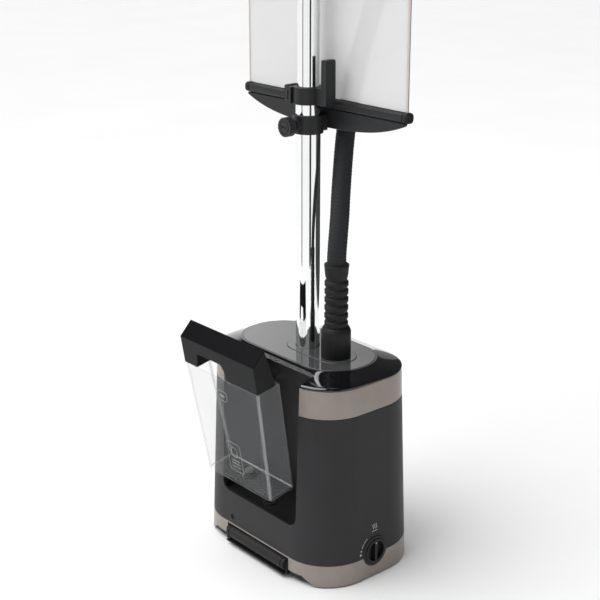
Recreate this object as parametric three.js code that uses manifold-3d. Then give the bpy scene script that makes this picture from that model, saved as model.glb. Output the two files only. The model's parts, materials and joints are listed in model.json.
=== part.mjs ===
// Upright garment steamer with a roll-up press screen.
// Millimetres, +Z up. The pole's axis is the Z axis and the floor is z = 0.
// -Y is the water tank's side, +X is the end with the control knob, +Y is where the garment hangs.

import * as THREE from 'three';
import { mergeVertices } from 'three/addons/utils/BufferGeometryUtils.js';
import Module from 'manifold-3d';

const wasm = await Module();
wasm.setup();

// ---------- driving dimensions ----------

const GAP = 0.3; // left between pieces that touch
const RUNNING_FIT = 0.05; // between a pin and the hole it turns in

const LID_Z = 289; // top of the flat plate in the lid
const HALF_X = 128; // half sizes of the housing at the height of the lid
const HALF_Y = 84;
const CORNER_R = 60;
const DRAFT = 0.033; // outward slope of the walls on the way down
const WALL = 3;
const LOWER_BAND = [1.6, 32];
const SHELL = [32.3, 236];
const UPPER_BAND = [236.3, 274];
const RIM_Z = 274.3;

const BAY = { x0: -73, x1: 80, floor: 79, back: -24.5, corner: 13 };
const BAY_LIP_Y = -59.4; // the lid's front edge over the bay

const TANK_TILT = 11.6; // degrees from upright to the pose at rest
const TANK_PIVOT = { y: -311, z: -56 }; // centre of the path from the docked pose to the pose at rest

const POLE = { lowR: 16, lowBore: 14.5, lowZ: [34, 628], upR: 14, upBore: 12.6, upZ: [486, 1486] };
const LOCK_Z = [613, 634];
const CLAMP_Z = [576, 599];
const THUMB_Z = 587;

const SCREEN_Y = 26.5;
const RAIL = { half: 153, y0: 20, y1: 33, z0: 605.5, z1: 618 };
const SCREEN = { half: 150, thick: 1.6, z0: 619, z1: 1468 };
const CASSETTE = { half: 166, y: 36.3, z: 1478, r: 17 };

const HOSE_X = 56;
const HOSE_R = 12.5;
const CONNECTOR_TOP = 331;
const BOOT_TOP = 415;

const KNOB = { z: 37, bossR: 21, r: 17.5, x: 137.6 };
const ROLLER = { x0: -59, x1: 65, y: -91, z: 18.5, r: 8.5, pin: 2 };

const HANGER = { y: 62, z: 1528, half: 205, pinX: 9, pinR: 2 };
const CLIP = { x: 140, pinZ: 1477 };
const HANDSET = { x: 100, y: 92, tail: 1300 };
const VALVE = { x: 4, y: -70 };
const BOILER_SPOT = [58, 8];

// ---------- helpers ----------

const group = new THREE.Group();

function solid(geometry) {
  const bare = geometry.clone();
  bare.deleteAttribute('normal');
  bare.deleteAttribute('uv');
  const merged = mergeVertices(bare, 1e-4);
  return new wasm.Manifold(new wasm.Mesh({
    numProp: 3,
    vertProperties: Float32Array.from(merged.attributes.position.array),
    triVerts: Uint32Array.from(merged.index.array),
  }));
}

const join = (first, ...rest) => rest.reduce((whole, piece) => whole.add(piece), first);
const cut = (first, ...rest) => rest.reduce((whole, piece) => whole.subtract(piece), first);

function geometryOf(body) {
  const mesh = body.getMesh();
  const geometry = new THREE.BufferGeometry();
  geometry.setAttribute('position', new THREE.BufferAttribute(Float32Array.from(mesh.vertProperties), 3));
  geometry.setIndex(new THREE.BufferAttribute(Uint32Array.from(mesh.triVerts), 1));
  geometry.computeVertexNormals();
  return geometry;
}

function paint(color, roughness, metalness = 0, extra = {}) {
  return new THREE.MeshStandardMaterial({ color, roughness, metalness, ...extra });
}

const paints = {
  shell: paint(0x3b3b3d, 0.55),
  taupe: paint(0x91877f, 0.42, 0.35),
  gloss: paint(0x0b0b0c, 0.08),
  lid: paint(0x2a2b2d, 0.12),
  matt: paint(0x1b1b1d, 0.5),
  trim: paint(0x3a3b3c, 0.48),
  chrome: paint(0xe6e7e8, 0.07, 1),
  clear: paint(0xe8eef0, 0.05, 0, { transparent: true, opacity: 0.3 }),
  fabric: paint(0xe4e3e2, 0.9),
  hose: paint(0x2b2c2e, 0.85),
  rubber: paint(0x202122, 0.8),
  steel: paint(0xb9bbbd, 0.3, 1),
  brass: paint(0xb99a5b, 0.35, 1),
  board: paint(0x1f5a38, 0.6),
  silicone: paint(0xd9d6cf, 0.6),
};

function place(name, body, material, parent = group) {
  const shape = body instanceof THREE.BufferGeometry ? body : geometryOf(body);
  const mesh = new THREE.Mesh(shape, material);
  mesh.name = name;
  parent.add(mesh);
  return mesh;
}

function box(x0, x1, y0, y1, z0, z1) {
  const geometry = new THREE.BoxGeometry(x1 - x0, y1 - y0, z1 - z0);
  geometry.translate((x0 + x1) / 2, (y0 + y1) / 2, (z0 + z1) / 2);
  return solid(geometry);
}

// A cylinder along 'x', 'y' or 'z' from one coordinate to another; centre holds the two other coordinates.
function rod(axis, from, to, centre, r, sides = 24, r2 = r) {
  const geometry = new THREE.CylinderGeometry(r2, r, to - from, sides);
  geometry.rotateX(Math.PI / 2);
  geometry.translate(0, 0, (from + to) / 2);
  if (axis === 'x') geometry.rotateY(Math.PI / 2);
  if (axis === 'y') geometry.rotateX(-Math.PI / 2);
  const shift = { x: [0, ...centre], y: [centre[0], 0, centre[1]], z: [...centre, 0] }[axis];
  geometry.translate(...shift);
  return solid(geometry);
}

function tube(axis, from, to, centre, r, bore, sides = 24) {
  return cut(rod(axis, from, to, centre, r, sides), rod(axis, from - 1, to + 1, centre, bore, sides));
}

// A turned piece about a vertical axis through (x, y); profile holds [radius, z] pairs that close on themselves.
function turned(profile, x, y, sides = 20) {
  const points = profile.map(([r, z]) => new THREE.Vector2(r, z));
  points.push(points[0].clone());
  const geometry = new THREE.LatheGeometry(points, sides);
  geometry.rotateX(Math.PI / 2);
  geometry.translate(x, y, 0);
  const body = solid(geometry);
  return body.volume() < 0 ? solid(flipped(geometry)) : body;
}

function flipped(geometry) {
  const copy = geometry.clone();
  const index = copy.index.array;
  for (let i = 0; i < index.length; i += 3) [index[i], index[i + 1]] = [index[i + 1], index[i]];
  return copy;
}

function roundedRect(x0, x1, y0, y1, r) {
  const shape = new THREE.Shape();
  shape.moveTo(x0 + r, y0);
  shape.lineTo(x1 - r, y0);
  shape.absarc(x1 - r, y0 + r, r, -Math.PI / 2, 0);
  shape.lineTo(x1, y1 - r);
  shape.absarc(x1 - r, y1 - r, r, 0, Math.PI / 2);
  shape.lineTo(x0 + r, y1);
  shape.absarc(x0 + r, y1 - r, r, Math.PI / 2, Math.PI);
  shape.lineTo(x0, y0 + r);
  shape.absarc(x0 + r, y0 + r, r, Math.PI, 1.5 * Math.PI);
  return shape;
}

function extruded(shape, depth, curveSegments = 8) {
  return new THREE.ExtrudeGeometry(shape, { depth, bevelEnabled: false, curveSegments });
}

// An outline in X and Z, pushed from y0 to y1.
function plateXZ(shape, y0, y1, curveSegments = 8) {
  const geometry = extruded(shape, y1 - y0, curveSegments);
  geometry.rotateX(Math.PI / 2);
  geometry.translate(0, y1, 0);
  return solid(geometry);
}

// An outline in Y and Z, pushed from x0 to x1.
function plateYZ(shape, x0, x1, curveSegments = 8) {
  const geometry = extruded(shape, x1 - x0, curveSegments);
  geometry.rotateZ(Math.PI / 2);
  geometry.rotateY(Math.PI / 2);
  geometry.translate(x0, 0, 0);
  return solid(geometry);
}

function outline(points) {
  const shape = new THREE.Shape();
  points.forEach(([u, v], i) => (i ? shape.lineTo(u, v) : shape.moveTo(u, v)));
  return shape;
}

// Moves each point of a geometry; change gets and returns [x, y, z].
function reshaped(geometry, change) {
  const position = geometry.attributes.position;
  for (let i = 0; i < position.count; i += 1) {
    position.setXYZ(i, ...change(position.getX(i), position.getY(i), position.getZ(i)));
  }
  return geometry;
}

// The housing's rounded rectangle between two heights, offset from its outer wall, with its draft.
function housing(z0, z1, offset) {
  const a = HALF_X + offset;
  const b = HALF_Y + offset;
  const geometry = extruded(roundedRect(-a, a, -b, b, CORNER_R + offset), z1 - z0, 6);
  return solid(reshaped(geometry, (x, y, z) => {
    const grow = (LID_Z - z0 - z) * DRAFT;
    return [x * (a + grow) / a, y * (b + grow) / b, z + z0];
  }));
}

const ring = (z0, z1, wall) => cut(housing(z0, z1, 0), housing(z0 - 1, z1 + 1, -wall));

// A smooth tube through points, of one round section.
function swept(points, r, sides, steps, bore = 0) {
  const path = new THREE.CatmullRomCurve3(points.map((p) => new THREE.Vector3(...p)), false, 'centripetal');
  const section = new THREE.Shape();
  section.absarc(0, 0, r, 0, 2 * Math.PI);
  if (bore) section.holes.push(new THREE.Path().absarc(0, 0, bore, 0, 2 * Math.PI, true));
  return new THREE.ExtrudeGeometry(section, {
    extrudePath: path, steps, bevelEnabled: false, curveSegments: sides,
  });
}

// ---------- base: housing ----------

const rollerRecess = box(ROLLER.x0 - 3, ROLLER.x1 + 3, -110, -76, -1, 30);
const archShape = outline([[-112, -2], [116, -2], [92, 13.5], [-88, 13.5]]);
const frontArch = plateXZ(archShape, -110, -40);
const rearArch = plateXZ(outline([[-100, -2], [96, -2], [86, 13.5], [-90, 13.5]]), 60, 110);
const bossHole = rod('x', 120, 150, [0, KNOB.z], KNOB.bossR + GAP, 24);

const rollerLip = box(ROLLER.x0 + 1, ROLLER.x1 - 1, -98.5, -75, 5.5, 7.4);
const panRaised = cut(
  housing(5.5, 11, -WALL - GAP),
  housing(7.4, 12, -WALL - 3),
  box(ROLLER.x0 - 3, ROLLER.x1 + 3, -110, -76, 8, 30),
);
place('base_pan', cut(
  join(
    box(-104, 104, -68, 68, 0, 6),
    tube('z', 5, 21.7, BOILER_SPOT, 30, 25, 20),
    panRaised,
    rollerLip,
    box(ROLLER.x0 - 2.6, ROLLER.x0 - GAP - 0.2, -95, -76.5, 7, 24),
    box(ROLLER.x1 + GAP + 0.2, ROLLER.x1 + 2.6, -95, -76.5, 7, 24),
  ),
  rod('x', ROLLER.x0 - 10, ROLLER.x1 + 10, [ROLLER.y, ROLLER.z], ROLLER.pin + RUNNING_FIT, 16),
), paints.matt);

place('lower_band', cut(ring(...LOWER_BAND, WALL), rollerRecess, frontArch, rearArch, bossHole), paints.taupe);

const bayOpening = plateXZ(roundedRect(BAY.x0, BAY.x1, BAY.floor, 330, BAY.corner), -120, -60, 6);
const drainHole = rod('y', -120, -70, [-50.5, 42.7], 4.2, 20);
const cordHole = rod('y', 70, 120, [-92, 52], 8.3, 24);
const knobBoss = cut(
  rod('x', 131.5, KNOB.x, [0, KNOB.z], KNOB.bossR, 24),
  housing(0, 60, -WALL),
);
place('body_shell', cut(
  join(ring(...SHELL, WALL), knobBoss),
  bayOpening,
  drainHole,
  cordHole,
  rod('x', 120, 150, [0, KNOB.z], KNOB.r + 0.5, 24),
), paints.shell);

place('upper_band', cut(ring(...UPPER_BAND, WALL), bayOpening), paints.taupe);

// The glossy lid: a short upright edge, then a slope that leads to the flat plate.
const PLATE = { a: 105, b: 53, z: LID_Z - 3 };
function rimSlope(z0, z1, offset) {
  const a = HALF_X + offset;
  const b = HALF_Y + offset;
  const endA = PLATE.a + 2 + offset;
  const endB = PLATE.b + 2 + offset;
  const geometry = extruded(roundedRect(-a, a, -b, b, CORNER_R + offset), z1 - z0, 6);
  return solid(reshaped(geometry, (x, y, z) => {
    const t = z / (z1 - z0);
    return [x * (1 + t * (endA / a - 1)), y * (1 + t * (endB / b - 1)), z + z0];
  }));
}
const plateShape = (offset) => roundedRect(
  -PLATE.a - offset, PLATE.a + offset, -PLATE.b - offset, PLATE.b + offset, 50 + offset,
);
function plateSolid(z0, z1, offset) {
  const geometry = extruded(plateShape(offset), z1 - z0, 6);
  geometry.translate(0, 0, z0);
  return solid(geometry);
}
const insertShape = (r) => roundedRect(-r, HOSE_X + r, -r, r, r);
function insertSolid(z0, z1, r) {
  const geometry = extruded(insertShape(r), z1 - z0, 6);
  geometry.translate(0, 0, z0);
  return solid(geometry);
}
place('lid_rim', cut(
  join(housing(RIM_Z, 277, 0.4), rimSlope(277, LID_Z - 0.4, 0.4)),
  cut(rimSlope(276, LID_Z - 5, -WALL - 2), plateSolid(282.5, 300, 2)),
  housing(270, 277, -WALL),
  plateSolid(PLATE.z - 0.6, 300, GAP),
  insertSolid(200, 300, 27 + GAP),
  box(BAY.x0 - 1.2, BAY.x1 + 1.2, -120, BAY_LIP_Y, 200, 300),
), paints.gloss);
place('lid_plate', cut(plateSolid(PLATE.z, LID_Z, 0), insertSolid(200, 300, 27 + GAP)), paints.lid);
place('pole_insert', cut(
  insertSolid(PLATE.z - 3, LID_Z + 0.6, 27),
  rod('z', 200, 300, [0, 0], POLE.lowR + GAP, 28),
  rod('z', 200, 300, [HOSE_X, 0], 16.5, 24),
), paints.lid);

// The bay's black inside.
const bayLiner = cut(
  box(BAY.x0 - 2.5, BAY.x1 + 2.5, -100, BAY.back + 2.5, BAY.floor - 2.5, 272),
  box(BAY.x0, BAY.x1, -120, BAY.back, BAY.floor, 300),
).intersect(housing(60, 272, -WALL - GAP));
place('tank_bay_liner', cut(bayLiner, rod('z', 60, 100, [VALVE.x, VALVE.y], 9.6, 24)), paints.matt);
place('water_inlet_seat', turned(
  [[3, 70], [12, 70], [12, 76], [9.3, 76], [9.3, 81.2], [5, 81.2], [5, 79], [3, 79]], VALVE.x, VALVE.y, 18,
), paints.rubber);

place('drain_plug', join(
  rod('y', -91.6, -86, [-50.5, 42.7], 3.9, 20),
  rod('y', -86, -82, [-50.5, 42.7], 2.6, 20),
), paints.matt);

place('mains_cord_gland', tube('y', 84.5, 97.5, [-92, 52], 7.9, 3.6, 20), paints.rubber);

// ---------- base: works inside ----------

place('boiler', join(
  rod('z', 22, 70, BOILER_SPOT, 34, 24),
  rod('z', 70, 76, BOILER_SPOT, 34, 24, 28),
  rod('z', 76, 84, BOILER_SPOT, 6, 16),
), paints.steel);
place('thermostat', rod('z', 76.5, 84, [76, 20], 7, 16), paints.brass);
place('water_pump', join(
  rod('x', -52, -12, [34, 30], 15, 24),
  box(-44, -20, 24, 44, 7.7, 16),
), paints.matt);
place('control_board', box(-112, -62, 30, 33, 20, 70), paints.board);
place('rotary_switch', join(
  box(112, 126, -12, 12, 25, 49),
  rod('x', 126, 131, [0, KNOB.z], 3, 16),
), paints.matt);
const waterPipe = [
  [VALVE.x, VALVE.y, 69.6], [VALVE.x, VALVE.y, 58], [-10, -44, 40], [-28, -18, 32], [-32, 6, 30], [-32, 17.5, 30],
];
place('water_pipe', swept(waterPipe, 3.6, 5, 14), paints.silicone);
const steamPipe = [[58, 8, 84.4], [58, 8, 110], [54, 3, 170], [HOSE_X, 0, 230], [HOSE_X, 0, 281]];
place('steam_pipe', swept(steamPipe, 6, 6, 12), paints.silicone);
place('pole_socket', join(
  tube('z', 7.7, 120, [0, 0], 20, POLE.lowR + GAP, 24),
  rod('z', 7.7, 33.6, [0, 0], 18, 24),
), paints.matt);

// ---------- base: what is handled ----------

place('control_knob', cut(
  rod('x', 131.5, KNOB.x + 1.4, [0, KNOB.z], KNOB.r, 24),
  cut(
    rod('x', 133.4, 145, [0, KNOB.z], 14, 24),
    box(133, 145, -1.9, 1.9, 0, 80),
  ),
), paints.matt);

place('transport_roller', join(
  rod('x', ROLLER.x0 + 0.6, ROLLER.x1 - 0.6, [ROLLER.y, ROLLER.z], ROLLER.r, 24),
  rod('x', ROLLER.x0 - 2.2, ROLLER.x1 + 2.2, [ROLLER.y, ROLLER.z], ROLLER.pin, 16),
), paints.rubber);

const footSpots = {
  front_left: [-114, -50], front_right: [114, -50], rear_left: [-114, 50], rear_right: [114, 50],
};
for (const [corner, spot] of Object.entries(footSpots)) {
  place(`foot_${corner}`, rod('z', 0, 5.2, spot, 9, 16), paints.rubber);
}

// ---------- pole ----------

place('pole_lower_tube', tube('z', ...POLE.lowZ, [0, 0], POLE.lowR, POLE.lowBore, 24), paints.chrome);
place('pole_upper_tube', tube('z', ...POLE.upZ, [0, 0], POLE.upR, POLE.upBore, 24), paints.chrome);

// Lock collar with the fin and the post that stands beside the pole.
const post = box(28, 38, -4, 12, LOCK_Z[0], 670);
const fin = box(12, 30, -4, 1, LOCK_Z[0], LOCK_Z[1]);
place('lock_collar', cut(
  join(rod('z', ...LOCK_Z, [0, 0], 19.5, 24), fin, post, box(-22, -10, -20.5, -14, ...LOCK_Z)),
  rod('z', LOCK_Z[0] - 1, 628 + GAP, [0, 0], POLE.lowR + GAP, 24),
  rod('z', 600, 700, [0, 0], POLE.upR + 0.08, 24),
  rod('z', 600, 700, [-19, -17.3], 1.9, 16),
  box(-24, -14.4, -22, -12.5, LOCK_Z[0] + 5, LOCK_Z[1] - 5),
  box(-27, -19.9, -22, 7, 600, 700),
), paints.trim);
place('lock_lever', join(
  rod('z', LOCK_Z[0] - 0.5, LOCK_Z[1] + 1.5, [-19, -17.3], 1.8, 16),
  box(-23.5, -16.2, -17.6, -14, LOCK_Z[0] + 5.4, LOCK_Z[1] - 5.4),
  box(-25.5, -20.4, -17.6, 6, LOCK_Z[0] + 1, LOCK_Z[1] + 1),
), paints.trim);

// Clamp that carries the screen's lower end, and its thumbscrew.
place('clamp_collar', cut(
  join(
    rod('z', ...CLAMP_Z, [0, 0], 19.5, 24),
    rod('y', -25, -10, [0, THUMB_Z], 9, 20),
    box(-13, 13, 12, 21.2, CLAMP_Z[0] + 2, CLAMP_Z[1] - 1),
  ),
  rod('z', 500, 700, [0, 0], POLE.lowR + GAP, 24),
  rod('y', -30, -10, [0, THUMB_Z], 4.2, 20),
), paints.trim);
place('thumbscrew', join(
  rod('y', -39.5, -29.5, [0, THUMB_Z], 12.3, 24),
  rod('y', -29.5, -25.6, [0, THUMB_Z], 7.5, 16),
  rod('y', -29, -16.8, [0, THUMB_Z], 4, 16),
), paints.trim);

// ---------- screen ----------

const railShape = roundedRect(RAIL.y0, RAIL.y1, RAIL.z0, RAIL.z1, 2.5);
place('screen_rail', cut(
  plateYZ(railShape, -RAIL.half + 8, RAIL.half - 8, 4),
  box(-RAIL.half, RAIL.half, SCREEN_Y - 1.4, SCREEN_Y + 1.4, 612, 640),
), paints.trim);
for (const [side, sign] of [['left', -1], ['right', 1]]) {
  const inner = sign * (RAIL.half - 8 + GAP);
  const outer = sign * RAIL.half;
  place(`rail_end_${side}`, plateYZ(
    roundedRect(RAIL.y0 - 0.5, RAIL.y1 + 0.5, RAIL.z0, RAIL.z1 + 0.5, 4),
    Math.min(inner, outer), Math.max(inner, outer), 4,
  ), paints.matt);
}

// The bow under the rail, deepest in the middle.
const WING_HALF = 149;
const wing = new THREE.Shape();
wing.moveTo(-WING_HALF, RAIL.z0 - GAP);
wing.lineTo(-WING_HALF, RAIL.z0 - 3);
wing.bezierCurveTo(-110, 585, -60, 580.5, 0, 580.5);
wing.bezierCurveTo(60, 580.5, 110, 585, WING_HALF, RAIL.z0 - 3);
wing.lineTo(WING_HALF, RAIL.z0 - GAP);
place('screen_wing', plateXZ(wing, 21.5, 27, 12), paints.trim);

place('screen_fabric', box(
  -SCREEN.half, SCREEN.half, SCREEN_Y - SCREEN.thick / 2, SCREEN_Y + SCREEN.thick / 2, SCREEN.z0, SCREEN.z1,
), paints.fabric);

// ---------- head ----------

const cassetteShape = new THREE.Shape();
cassetteShape.absarc(CASSETTE.y, CASSETTE.z, CASSETTE.r, 0, 2 * Math.PI);
place('screen_cassette', cut(
  plateYZ(cassetteShape, -CASSETTE.half + 6, CASSETTE.half - 6, 14),
  rod('x', -200, 200, [CASSETTE.y, CASSETTE.z], CASSETTE.r - 2, 24),
  box(-SCREEN.half - 3, SCREEN.half + 3, SCREEN_Y - 2.2, SCREEN_Y + 2.2, 1450, 1470),
), paints.trim);
for (const [side, sign] of [['left', -1], ['right', 1]]) {
  const inner = sign * (CASSETTE.half - 6 + GAP);
  const outer = sign * CASSETTE.half;
  const stub = inner - sign * 9;
  place(`cassette_end_${side}`, join(
    rod('x', Math.min(inner, outer), Math.max(inner, outer), [CASSETTE.y, CASSETTE.z], CASSETTE.r, 24),
    rod('x', Math.min(inner, stub), Math.max(inner, stub), [CASSETTE.y, CASSETTE.z], 5, 20),
  ), paints.matt);
}
place('screen_roller', tube(
  'x', -CASSETTE.half + 8, CASSETTE.half - 8, [CASSETTE.y, CASSETTE.z], 9, 5.08, 20,
), paints.steel);

// Head bracket: cap on the pole, a cradle under the cassette and the arm that reaches over the screen.
place('head_bracket', cut(
  join(
    rod('z', 1440, 1496, [0, 0], 19, 20),
    box(-16, 16, 0, CASSETTE.y - 8, 1466, 1510),
    box(-16, 16, -10, HANGER.y, 1497, 1511),
    rod('z', 1497, 1511, [0, HANGER.y], 16, 20),
  ),
  rod('z', 1400, 1486 + GAP, [0, 0], POLE.upR + GAP, 20),
  rod('x', -30, 30, [CASSETTE.y, CASSETTE.z], CASSETTE.r + GAP, 28),
  rod('z', 1490, 1520, [0, HANGER.y], 4.8 + GAP, 16),
), paints.matt);

place('hanger_hub', cut(
  join(
    rod('z', 1490, 1511.6, [0, HANGER.y], 4.8, 16),
    rod('z', 1511.4, 1541, [0, HANGER.y], 15, 20),
    rod('z', 1541, 1547, [0, HANGER.y], 15, 20, 11),
  ),
  box(-40, 40, HANGER.y - 4.4, HANGER.y + 4.4, 1520, 1560),
  rod('y', 0, 100, [-HANGER.pinX, HANGER.z], HANGER.pinR + RUNNING_FIT, 16),
  rod('y', 0, 100, [HANGER.pinX, HANGER.z], HANGER.pinR + RUNNING_FIT, 16),
), paints.matt);

// Hanger arms that fold upwards; each turns on a pin at its root and ends in a soft pad.
for (const [side, sign] of [['left', -1], ['right', 1]]) {
  const arm = new THREE.Shape();
  arm.moveTo(sign * 6.5, 1520.5);
  arm.lineTo(sign * 6.5, 1535.5);
  arm.lineTo(sign * 16, 1535.5);
  arm.bezierCurveTo(sign * 70, 1534, sign * 140, 1508, sign * HANGER.half, 1486);
  arm.lineTo(sign * (HANGER.half + 2), 1478);
  arm.lineTo(sign * (HANGER.half - 8), 1474);
  arm.bezierCurveTo(sign * 130, 1496, sign * 70, 1518, sign * 16, 1520.5);
  const pad = rod('y', HANGER.y - 11, HANGER.y + 11, [sign * (HANGER.half - 4), 1480.5], 6.5, 16);
  const pin = rod('y', HANGER.y - 11.5, HANGER.y + 11.5, [sign * HANGER.pinX, HANGER.z], HANGER.pinR, 16);
  place(`hanger_arm_${side}`, join(plateXZ(arm, HANGER.y - 4, HANGER.y + 4, 7), pad, pin), paints.matt);
}

// Trouser clips: a body that hangs from the arm and a sprung jaw.
for (const [side, sign] of [['left', -1], ['right', 1]]) {
  const x = sign * CLIP.x;
  const y = HANGER.y;
  const z = CLIP.pinZ;
  place(`clip_body_${side}`, cut(
    join(
      box(x - 11, x + 11, y - 7.5, y + 7.5, z + 4, z + 45),
      box(x - 11, x + 11, y - 6, y - 2.6, z - 30, z + 6),
    ),
    box(x - 20, x + 20, y - 4.6, y + 4.6, z + 8, z + 41),
    box(x - 20, x + 20, y - 2.6, y + 10, z - 40, z + 6),
  ), paints.matt);
  place(`clip_jaw_${side}`, join(
    rod('x', x - 10.5, x + 10.5, [y + 3, z], 2.6, 14),
    box(x - 10.5, x + 10.5, y + 1.2, y + 4.4, z - 16, z + 2),
    box(x - 10.5, x + 10.5, y - 2, y + 1.4, z - 30, z - 14),
  ), paints.matt);
}

// ---------- handset and hose ----------

const h = HANDSET;
place('handset_hook', cut(
  join(
    rod('x', h.x - 12, h.x + 12, [CASSETTE.y, CASSETTE.z], CASSETTE.r + 3.5, 24),
    box(h.x - 12, h.x + 12, CASSETTE.y + 5, h.y + 8, 1455, 1461),
  ),
  rod('x', h.x - 20, h.x + 20, [CASSETTE.y, CASSETTE.z], CASSETTE.r + GAP, 24),
  box(h.x - 20, h.x + 20, CASSETTE.y - 40, CASSETTE.y - 6, 1440, 1500),
  box(h.x - 20, h.x + 20, CASSETTE.y - 40, CASSETTE.y + 5, 1440, 1470),
  rod('z', 1440, 1480, [h.x, h.y], 8.6, 24),
  box(h.x - 8.6, h.x + 8.6, h.y, h.y + 30, 1440, 1480),
), paints.matt);

const headShape = new THREE.Shape();
headShape.moveTo(h.x - 12, 1461.3);
headShape.lineTo(h.x + 12, 1461.3);
headShape.bezierCurveTo(h.x + 40, 1468, h.x + 46, 1480, h.x + 44, 1500);
headShape.bezierCurveTo(h.x + 40, 1540, h.x + 16, 1566, h.x, 1570);
headShape.bezierCurveTo(h.x - 16, 1566, h.x - 40, 1540, h.x - 44, 1500);
headShape.bezierCurveTo(h.x - 46, 1480, h.x - 40, 1468, h.x - 12, 1461.3);
const gripProfile = [
  [6, h.tail], [13, h.tail], [15.5, h.tail + 22], [16.5, h.tail + 80], [15.5, h.tail + 130],
  [11, h.tail + 148], [8.2, h.tail + 152], [8.2, 1462], [6, 1462],
];
place('handset_body', cut(
  join(turned(gripProfile, h.x, h.y, 16), plateXZ(headShape, h.y - 15, h.y + 13, 5)),
  box(h.x - 6.3, h.x + 6.3, h.y - 20, h.y - 9, h.tail + 92, h.tail + 120),
), paints.matt);
place('steam_plate', cut(
  plateXZ(headShape, h.y + 13 + GAP, h.y + 18, 5),
  ...[-24, -8, 8, 24].map((dx) => rod('y', h.y, h.y + 40, [h.x + dx, 1502 + 12 * Math.cos(dx / 15)], 2.2, 12)),
), paints.steel);
place('steam_trigger', box(
  h.x - 6, h.x + 6, h.y - 18.5, h.y - 12.6, h.tail + 92.4, h.tail + 119.6,
), paints.trim);
const handsetBoot = [[7, h.tail - 36], [12.5, h.tail - 36], [14.5, h.tail - GAP], [7, h.tail - GAP]];
place('handset_boot', turned(handsetBoot, h.x, h.y, 20), paints.rubber);

const connectorProfile = [
  [7, 281.4], [16.2, 281.4], [16.2, 289.9], [19.5, 289.9], [19.5, 326], [17, CONNECTOR_TOP], [7, CONNECTOR_TOP],
];
place('hose_connector', turned(connectorProfile, HOSE_X, 0, 20), paints.matt);
const boot = [[7, CONNECTOR_TOP + GAP], [15.5, CONNECTOR_TOP + GAP]];
const RIBS = 6;
const RIB_PITCH = (BOOT_TOP - 19 - CONNECTOR_TOP) / RIBS;
for (let i = 0; i < RIBS; i += 1) {
  const z = CONNECTOR_TOP + 1 + i * RIB_PITCH;
  boot.push([15.5, z], [15.5, z + 0.62 * RIB_PITCH], [13.6, z + 0.7 * RIB_PITCH], [13.6, z + 0.92 * RIB_PITCH]);
}
boot.push([14.6, BOOT_TOP - 17], [16.2, BOOT_TOP - 2], [16.2, BOOT_TOP], [7, BOOT_TOP]);
place('hose_boot', turned(boot, HOSE_X, 0, 12), paints.rubber);

const hoseRoute = [
  [56, 0, 415.3], [56, 0, 426], [54, 3.5, 446], [49.5, 10, 471], [42, 18.5, 498], [33, 29, 526], [25, 39, 553],
  [19, 48.5, 582], [18.5, 54.5, 613], [25, 57.5, 650], [37.5, 59, 692], [52, 60, 732], [75, 63, 792],
  [101, 68, 866], [124, 74, 944], [138, 80, 1020], [142, 85, 1090], [135, 89, 1150], [118, 91.5, 1200],
  [105, 92, 1228], [100, 92, 1250], [100, 92, 1263.7],
];
place('steam_hose', swept(hoseRoute, HOSE_R, 4, 26), paints.hose);

// ---------- water tank, built docked, then turned out to the pose at rest ----------

const tank = new THREE.Group();
tank.position.set(0, TANK_PIVOT.y, TANK_PIVOT.z);
tank.rotation.x = THREE.MathUtils.degToRad(TANK_TILT);
group.add(tank);

function placeOnTank(name, body, material) {
  const shape = geometryOf(body);
  shape.translate(0, -TANK_PIVOT.y, -TANK_PIVOT.z);
  return place(name, shape, material, tank);
}

const TANK = { z0: 81.5, z1: 241.6, midX: 3.5, half0: 66, half1: 75.2, back0: -50, back1: -47.8, corner: 0.22 };
const frontY = (z) => -(HALF_Y + (LID_Z - z) * DRAFT) + 0.4;

// The tank's tapered box between two heights; inset is the distance in from its outer face.
// The unit square's rounded corners keep their size, because only the straight part of each side is stretched.
function tankSolid(z0, z1, inset) {
  const geometry = extruded(roundedRect(-1, 1, -1, 1, TANK.corner), z1 - z0, 5);
  return solid(reshaped(geometry, (x, y, z) => {
    const height = z0 + z;
    const t = (height - TANK.z0) / (TANK.z1 - TANK.z0);
    const half = TANK.half0 + t * (TANK.half1 - TANK.half0) - inset;
    const back = TANK.back0 + t * (TANK.back1 - TANK.back0) - inset;
    const front = frontY(height) + inset;
    const depth = (back - front) / 2;
    const across = Math.sign(x) * (half - depth * (1 - Math.abs(x)));
    return [TANK.midX + across, (front + back) / 2 + y * depth, height];
  }));
}
placeOnTank('tank_shell', cut(
  tankSolid(TANK.z0, TANK.z1, 0),
  tankSolid(TANK.z0 + 2.4, TANK.z1 + 5, 2),
  rod('z', 70, 90, [VALVE.x, VALVE.y], 8.3, 24),
), paints.clear);

const handleProfile = outline([
  [frontY(242), 242], [-55, 242], [-58.6, 267], [-62.9, 295], [frontY(280), 280],
]);
placeOnTank('tank_handle', cut(
  plateYZ(handleProfile, -72.3, 79.3),
  plateXZ(outline([[-45, 240], [22, 240], [9, 262.5], [-40, 262.5]]), -110, -40),
  box(32, 73, -81, -59.5, 240, 262),
  box(-66, -51, -81, -59.5, 240, 262),
), paints.trim);
placeOnTank('tank_valve', turned(
  [[3.1, 82], [8, 82], [8, 84.3], [10.5, 84.3], [10.5, 86.4], [6.4, 92], [3.1, 92]], VALVE.x, VALVE.y, 18,
), paints.matt);
placeOnTank('valve_plunger', join(
  rod('z', 82.4, 96, [VALVE.x, VALVE.y], 3.04, 18),
  rod('z', 92.3, 95.4, [VALVE.x, VALVE.y], 5.8, 20),
), paints.silicone);

export default group;
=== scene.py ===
"""Upright garment steamer with a roll-up press screen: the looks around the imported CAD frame."""

import json
import math

import bmesh
import bpy
from mathutils import Matrix, Vector


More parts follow.
